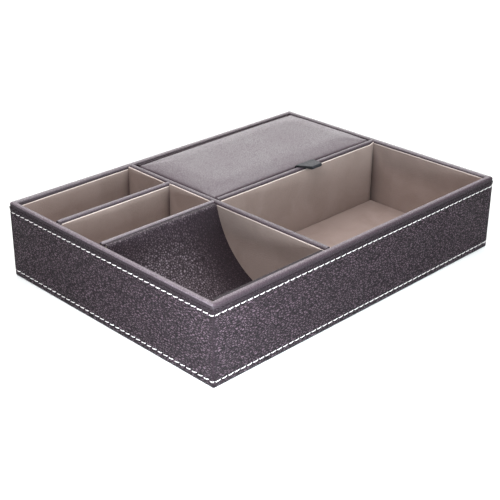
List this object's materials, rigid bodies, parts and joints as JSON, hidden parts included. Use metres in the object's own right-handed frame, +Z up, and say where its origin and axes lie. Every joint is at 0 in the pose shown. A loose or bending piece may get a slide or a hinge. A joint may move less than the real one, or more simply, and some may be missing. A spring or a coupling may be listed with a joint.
{
  "type": "valet tray",
  "caption": "Low leather valet tray lined with suede, with a half-round scoop, open compartments and a padded lid hinged over one of them",
  "frame": {"origin": "middle of the underside, on the surface that the tray stands on", "axes": "+X along the long side, +Y from the open compartments towards the lid's hinge, +Z up"},
  "size_m": [0.3, 0.22, 0.0629],
  "materials": {
    "leather": "pebbled, satin",
    "tab_leather": "smooth, satin",
    "suede": "soft short nap",
    "board": "raw fibreboard",
    "card": "raw bent card",
    "foam": "open foam",
    "base_felt": "dense felt"
  },
  "bodies": {
    "tray": {"base_felt": "base_felt", "base_board": "board", "front_wall_board": "board", "back_wall_board": "board", "left_wall_board": "board", "right_wall_board": "board", "outer_cover": "leather", "front_rim_leather": "leather", "back_rim_leather": "leather", "left_rim_leather": "leather", "right_rim_leather": "leather", "column_divider_board": "board", "column_divider_leather": "leather", "scoop_divider_board": "board", "scoop_divider_leather": "leather", "narrow_divider_board": "board", "narrow_divider_leather": "leather", "lid_divider_board": "board", "lid_divider_leather": "leather", "large_floor_lining": "suede", "large_front_lining": "suede", "large_back_lining": "suede", "large_left_lining": "suede", "large_right_lining": "suede", "lidded_floor_lining": "suede", "lidded_front_lining": "suede", "lidded_back_lining": "suede", "lidded_left_lining": "suede", "lidded_right_lining": "suede", "front_narrow_floor_lining": "suede", "front_narrow_front_lining": "suede", "front_narrow_back_lining": "suede", "front_narrow_left_lining": "suede", "front_narrow_right_lining": "suede", "back_narrow_floor_lining": "suede", "back_narrow_front_lining": "suede", "back_narrow_back_lining": "suede", "back_narrow_left_lining": "suede", "back_narrow_right_lining": "suede", "scoop_left_cheek": "suede", "scoop_right_cheek": "suede", "scoop_shell": "card", "scoop_leather": "leather", "hinge_strip": "leather"},
    "lid": {"lid_board": "board", "lid_foam": "foam", "lid_cover": "leather", "lid_lining": "suede", "pull_tab": "tab_leather"}
  },
  "joints": [
    {"name": "lid_hinge", "type": "hinge", "parent": "tray", "child": "lid", "pos_m": [0.0545, 0.1037, 0.058], "axis": [-1, 0, 0], "range_deg": [0, 100], "deforming": ["hinge_strip"]}
  ]
}
